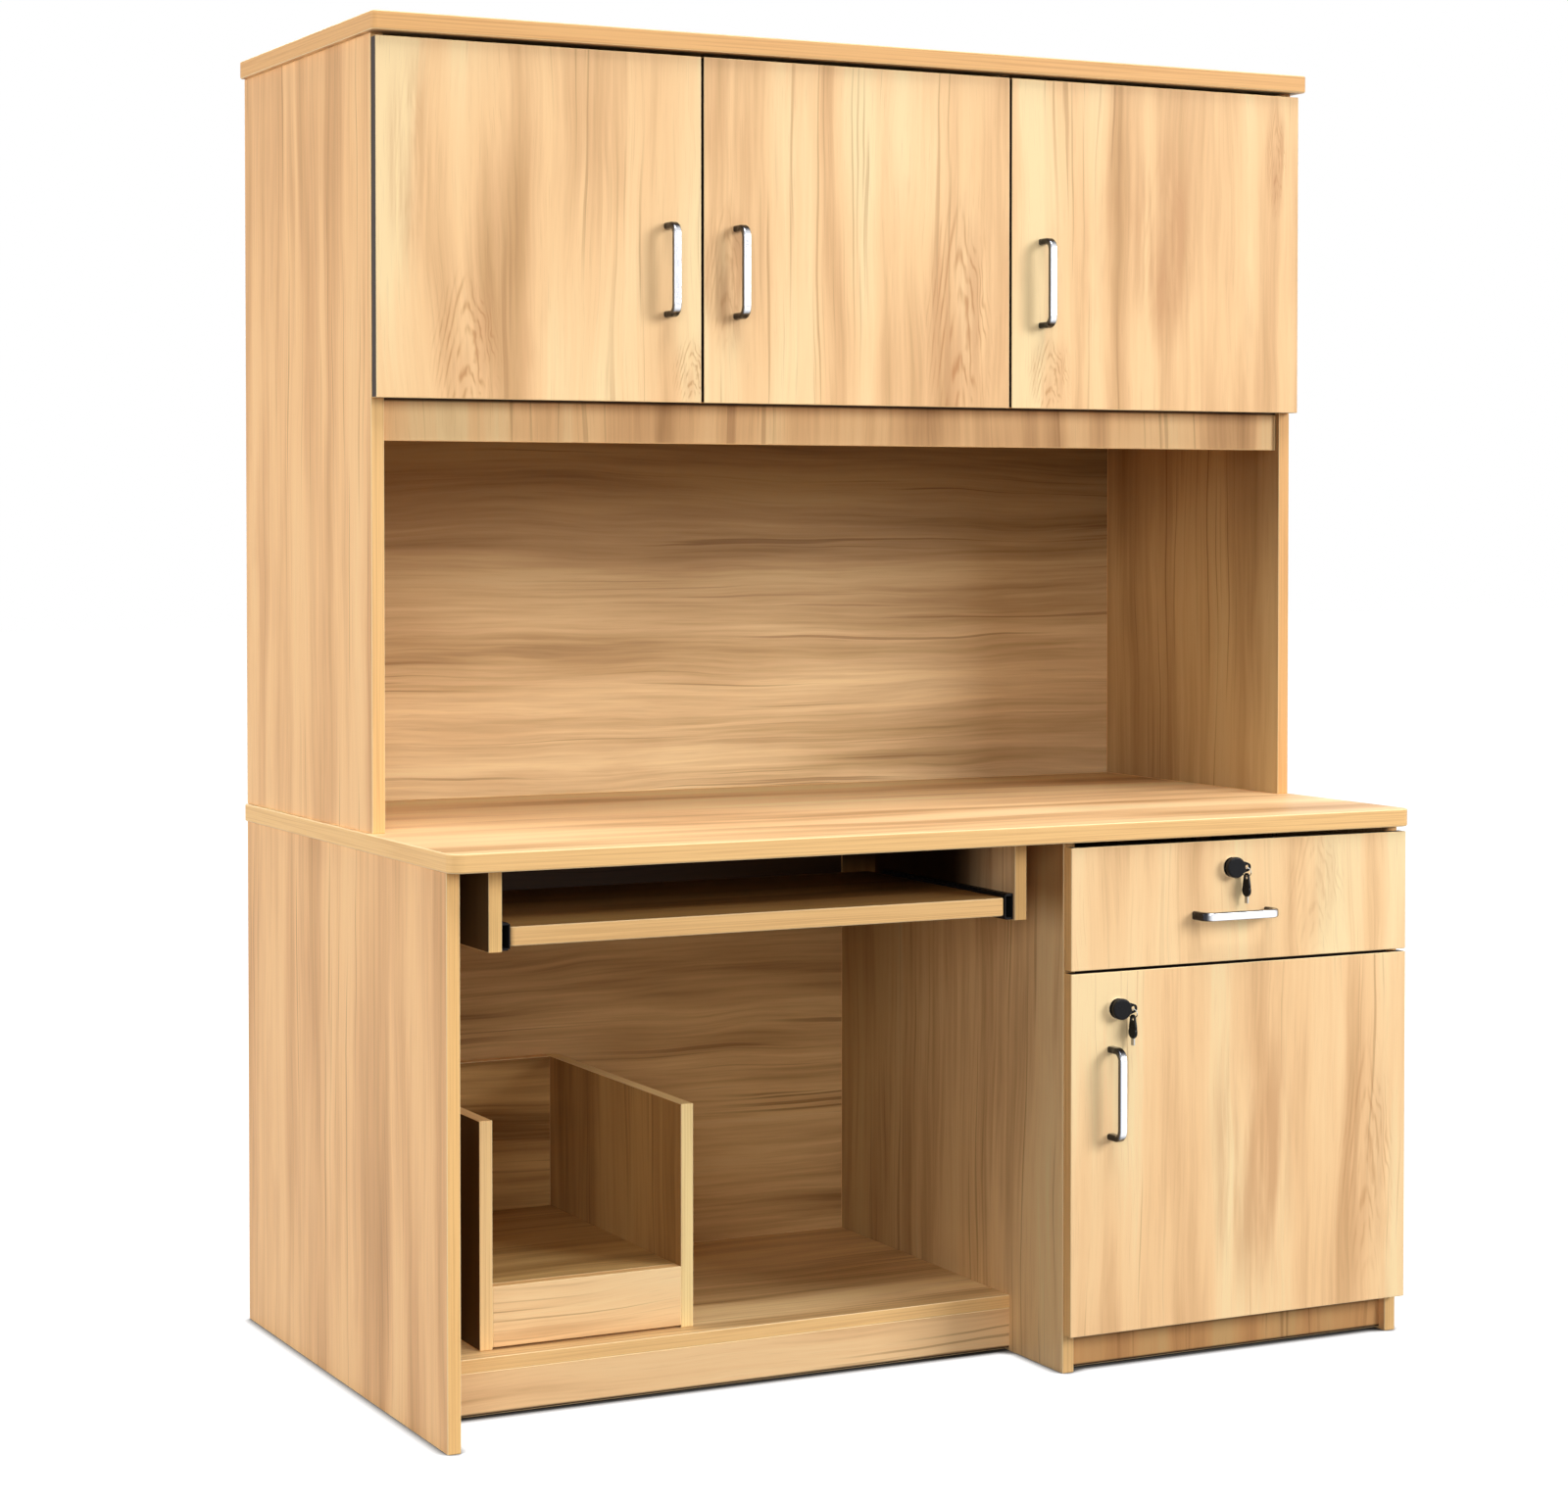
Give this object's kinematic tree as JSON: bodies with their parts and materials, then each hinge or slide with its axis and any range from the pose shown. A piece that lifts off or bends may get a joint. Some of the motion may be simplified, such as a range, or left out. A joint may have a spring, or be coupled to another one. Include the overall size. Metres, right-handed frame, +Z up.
{
  "type": "computer cabinet",
  "caption": "Wooden computer desk with keyboard tray, computer stand, locking drawer pedestal and a hutch of overhead cupboards with hinged doors.",
  "frame": {"origin": "on the floor, in the middle of the whole outline seen from above", "axes": "+Z up, -Y towards the front where the doors, drawer and tray open, +X towards the pedestal"},
  "size_m": [1.462, 0.855, 1.818],
  "materials": {
    "laminate": "pre-laminated particle board, honey beech print, satin",
    "drawer_hardboard": "thin hardboard, smooth",
    "handle_chrome": "bright chrome plate",
    "lock_chrome": "chrome-plated zinc",
    "lock_steel": "plain metal",
    "key_plastic": "black moulded key head",
    "hinge_steel": "nickel-plated pressed steel",
    "slide_steel": "zinc-plated rolled steel",
    "black_slide": "black powder coat"
  },
  "bodies": {
    "cabinet": {"base_left_side": "laminate", "base_right_side": "laminate", "pedestal_partition": "laminate", "desktop": "laminate", "bay_back_panel": "laminate", "bay_floor": "laminate", "bay_plinth": "laminate", "pedestal_floor": "laminate", "pedestal_plinth": "laminate", "pedestal_divider": "laminate", "pedestal_back": "laminate", "stand_left_wall": "laminate", "stand_right_wall": "laminate", "stand_back_wall": "laminate", "stand_skirt": "laminate", "stand_floor": "laminate", "keyboard_hanger_left": "laminate", "keyboard_hanger_right": "laminate", "keyboard_slide_outers": "black_slide", "drawer_slide_outers": "slide_steel", "hutch_left_side": "laminate", "hutch_right_side": "laminate", "hutch_floor": "laminate", "hutch_rail": "laminate", "hutch_partition": "laminate", "hutch_back": "laminate", "hutch_top": "laminate", "hinge_arms": "hinge_steel", "hinge_plates": "hinge_steel"},
    "keyboard": {"keyboard_tray": "laminate", "keyboard_slide_inners": "black_slide"},
    "drawer": {"drawer_front": "laminate", "drawer_box_front": "laminate", "drawer_left_side": "laminate", "drawer_right_side": "laminate", "drawer_back": "laminate", "drawer_bottom": "drawer_hardboard", "drawer_handle": "handle_chrome", "drawer_slide_inners": "slide_steel", "drawer_lock_cylinder": "lock_chrome"},
    "drawer_slide_middle": {"drawer_slide_middles": "slide_steel"},
    "left_door": {"left_door": "laminate", "left_door_handle": "handle_chrome", "left_door_hinge_cups": "hinge_steel"},
    "middle_door": {"middle_door": "laminate", "middle_door_handle": "handle_chrome", "middle_door_hinge_cups": "hinge_steel"},
    "right_door": {"right_door": "laminate", "right_door_handle": "handle_chrome", "right_door_hinge_cups": "hinge_steel"},
    "pedestal_door": {"pedestal_door": "laminate", "pedestal_door_handle": "handle_chrome", "pedestal_door_hinge_cups": "hinge_steel", "door_lock_cylinder": "lock_chrome"},
    "drawer_lock": {"drawer_lock_plug": "lock_steel", "drawer_key": "key_plastic"},
    "drawer_spare": {"drawer_spare_key": "key_plastic"},
    "door_lock": {"door_lock_plug": "lock_steel", "door_key": "key_plastic"},
    "door_spare": {"door_spare_key": "key_plastic"}
  },
  "joints": [
    {"name": "keyboard_slide", "type": "slide", "parent": "cabinet", "child": "keyboard", "axis": [0, -1, 0], "range_m": [0, 0.25]},
    {"name": "drawer_slide", "type": "slide", "parent": "cabinet", "child": "drawer", "axis": [0, -1, 0], "range_m": [0, 0.45]},
    {"name": "drawer_slide_middle", "type": "slide", "parent": "cabinet", "child": "drawer_slide_middle", "axis": [0, -1, 0], "range_m": [0, 0.225]},
    {"name": "left_door_swing", "type": "hinge", "parent": "cabinet", "child": "left_door", "pos_m": [-0.7152, -0.1181, 1.399], "axis": [0, 0, -1], "range_deg": [0, 95]},
    {"name": "middle_door_swing", "type": "hinge", "parent": "cabinet", "child": "middle_door", "pos_m": [0.2187, -0.1181, 1.399], "axis": [0, 0, 1], "range_deg": [0, 95]},
    {"name": "right_door_swing", "type": "hinge", "parent": "cabinet", "child": "right_door", "pos_m": [0.7152, -0.1181, 1.399], "axis": [0, 0, 1], "range_deg": [0, 95]},
    {"name": "pedestal_door_swing", "type": "hinge", "parent": "cabinet", "child": "pedestal_door", "pos_m": [0.7152, -0.3861, 0.133], "axis": [0, 0, 1], "range_deg": [0, 95]},
    {"name": "drawer_key_turn", "type": "hinge", "parent": "drawer", "child": "drawer_lock", "pos_m": [0.425, -0.3935, 0.6805], "axis": [0, 1, 0], "range_deg": [0, 90]},
    {"name": "drawer_spare_key_hang", "type": "hinge", "parent": "drawer_lock", "child": "drawer_spare", "pos_m": [0.4435, -0.4043, 0.6805], "axis": [0, 1, 0], "range_deg": [-90, 0]},
    {"name": "door_key_turn", "type": "hinge", "parent": "pedestal_door", "child": "door_lock", "pos_m": [0.24, -0.3935, 0.4965], "axis": [0, 1, 0], "range_deg": [0, 90]},
    {"name": "door_spare_key_hang", "type": "hinge", "parent": "door_lock", "child": "door_spare", "pos_m": [0.2585, -0.4043, 0.4965], "axis": [0, 1, 0], "range_deg": [-90, 0]}
  ],
  "couplings": [
    {"joint": "drawer_slide_middle", "follows": "drawer_slide", "ratio": 0.5},
    {"joint": "drawer_spare_key_hang", "follows": "drawer_key_turn", "ratio": -1},
    {"joint": "door_spare_key_hang", "follows": "door_key_turn", "ratio": -1}
  ]
}
